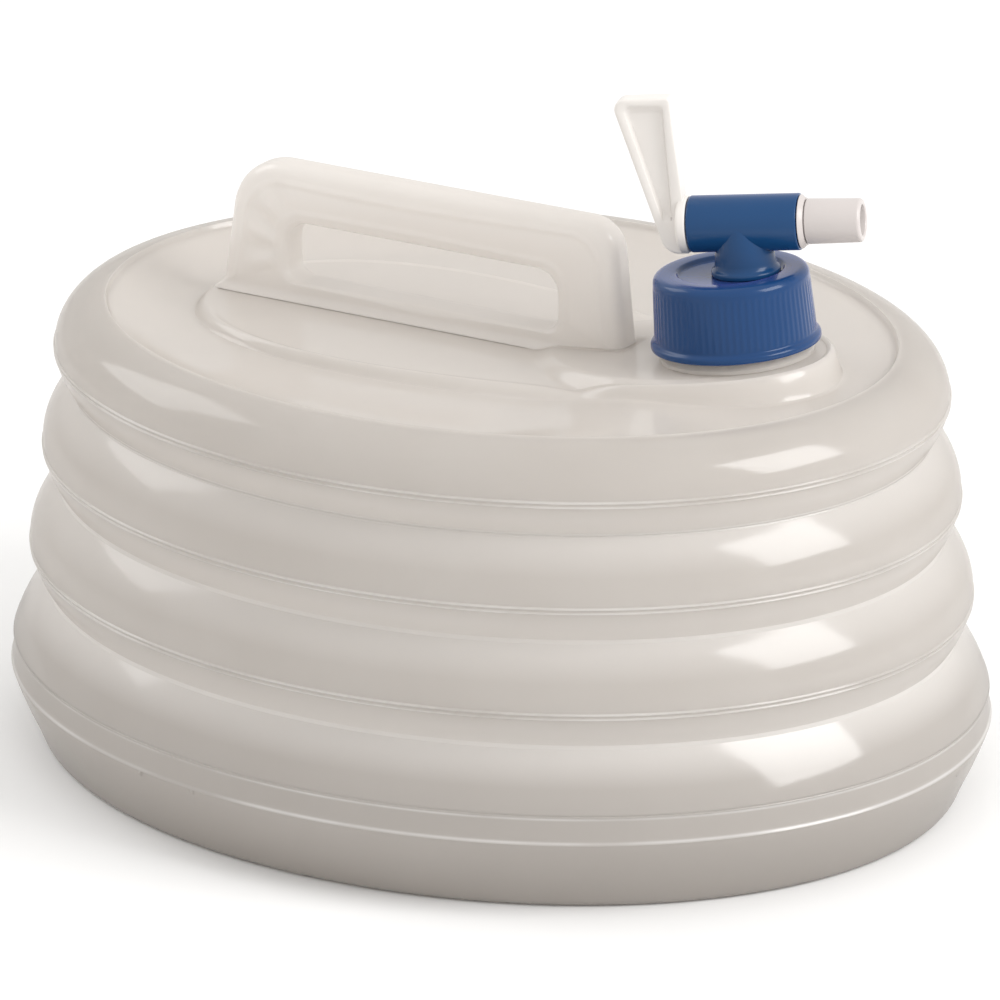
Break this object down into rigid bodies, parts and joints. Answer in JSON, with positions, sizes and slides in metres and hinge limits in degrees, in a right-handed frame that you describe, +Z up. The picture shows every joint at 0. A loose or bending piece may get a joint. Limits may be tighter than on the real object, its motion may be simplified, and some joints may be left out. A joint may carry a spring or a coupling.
{
  "type": "collapsible water carrier",
  "caption": "Oval bellows-sided water carrier with a moulded carry handle, a leaning threaded neck, and a screw cap with a lever tap; folds down flat.",
  "frame": {"origin": "middle of the floor the carrier stands on, below the middle of its oval base", "axes": "+X along the long axis and the handle, towards the cap; +Y across, away from the pictured side; +Z up"},
  "size_m": [0.368, 0.305, 0.2599],
  "materials": {
    "milky_polyethylene": "milky translucent blow-moulded polyethylene, soft sheen",
    "handle_polyethylene": "milky blow-moulded polyethylene, thicker and whiter",
    "cap_blue": "blue injection-moulded plastic, semi-gloss",
    "tap_blue": "blue injection-moulded plastic, semi-gloss",
    "tap_white": "white injection-moulded plastic, semi-gloss",
    "gasket_foam": "off-white soft sealing ring",
    "ring_rubber": "black rubber"
  },
  "bodies": {
    "container_base": {"base_pan": "milky_polyethylene", "fold_lower": "milky_polyethylene", "fold_middle": "milky_polyethylene", "fold_upper": "milky_polyethylene"},
    "container_top": {"top_shell": "milky_polyethylene", "filler_neck": "milky_polyethylene", "carry_handle": "handle_polyethylene"},
    "cap_lift": {"cap_gasket": "gasket_foam"},
    "cap": {"screw_cap": "cap_blue", "tap_body": "tap_blue", "tap_seal": "ring_rubber", "tap_nut": "tap_blue"},
    "tap": {"tap_core": "tap_white", "core_ring_left": "ring_rubber", "core_ring_right": "ring_rubber", "core_collar": "tap_white", "tap_lever": "tap_white"}
  },
  "joints": [
    {"name": "collapse", "type": "slide", "parent": "container_base", "child": "container_top", "axis": [0, 0, -1], "range_m": [0, 0.072], "deforming": ["fold_lower", "fold_middle", "fold_upper"]},
    {"name": "cap_rise", "type": "slide", "parent": "container_top", "child": "cap_lift", "axis": [-0.1045, 0, 0.9945], "range_m": [0, 0.0019]},
    {"name": "cap_turn", "type": "hinge", "parent": "cap_lift", "child": "cap", "pos_m": [0.0963, 0, 0.168], "axis": [-0.1045, 0, 0.9945], "range_deg": [0, 135]},
    {"name": "tap_turn", "type": "hinge", "parent": "cap", "child": "tap", "pos_m": [0.09665, 0.00168, 0.2158], "axis": [-0.949, -0.299, -0.0997], "range_deg": [0, 90]}
  ],
  "couplings": [
    {"joint": "cap_rise", "follows": "cap_turn", "m_per_rad": 0.00079577}
  ]
}
